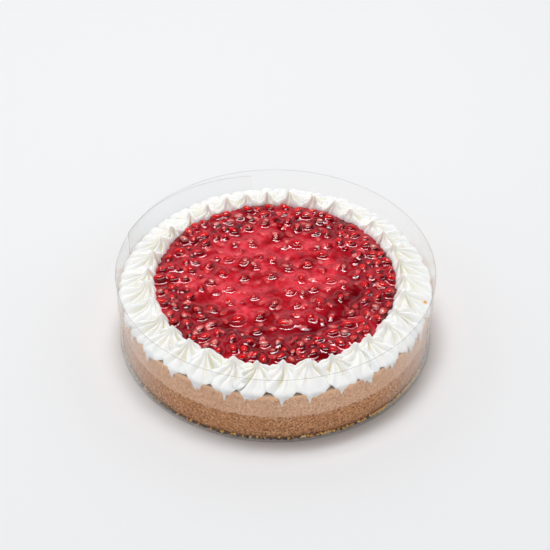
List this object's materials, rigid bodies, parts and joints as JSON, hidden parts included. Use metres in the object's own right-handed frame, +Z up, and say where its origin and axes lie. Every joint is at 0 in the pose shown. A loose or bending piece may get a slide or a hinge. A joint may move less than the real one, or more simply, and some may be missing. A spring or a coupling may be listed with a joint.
{
  "type": "baked cheesecake",
  "caption": "Round baked cheesecake on a crumb base, with a piped cream star border, a pomegranate jelly topping and a clear film collar round its side.",
  "frame": {"origin": "centre of the cake's foot, on the surface it stands on", "axes": "+Z up along the cake's height; the film's lapped ends are at +Y, and -Y is the side shown to the viewer"},
  "size_m": [0.2298, 0.2299, 0.06],
  "materials": {
    "crumb": "rough, grainy pressed crumb",
    "filling": "matt, fine-grained baked filling",
    "cream": "soft satin whipped cream",
    "jelly": "wet gloss fruit jelly with arils",
    "film": "clear glossy film"
  },
  "bodies": {
    "root": {"crumb_base": "crumb", "cheesecake_filling": "filling", "pomegranate_topping": "jelly", "cream_star_01": "cream", "cream_star_02": "cream", "cream_star_03": "cream", "cream_star_04": "cream", "cream_star_05": "cream", "cream_star_06": "cream", "cream_star_07": "cream", "cream_star_08": "cream", "cream_star_09": "cream", "cream_star_10": "cream", "cream_star_11": "cream", "cream_star_12": "cream", "cream_star_13": "cream", "cream_star_14": "cream", "cream_star_15": "cream", "cream_star_16": "cream", "cream_star_17": "cream", "cream_star_18": "cream", "cream_star_19": "cream", "cream_star_20": "cream", "cream_star_21": "cream", "cream_star_22": "cream", "cream_star_23": "cream", "cream_star_24": "cream", "cream_star_25": "cream", "cream_star_26": "cream", "cream_star_27": "cream", "cream_star_28": "cream", "cream_star_29": "cream", "cream_star_30": "cream", "cream_star_31": "cream", "cream_star_32": "cream", "cream_star_33": "cream", "cream_star_34": "cream", "acetate_collar": "film"}
  },
  "joints": []
}
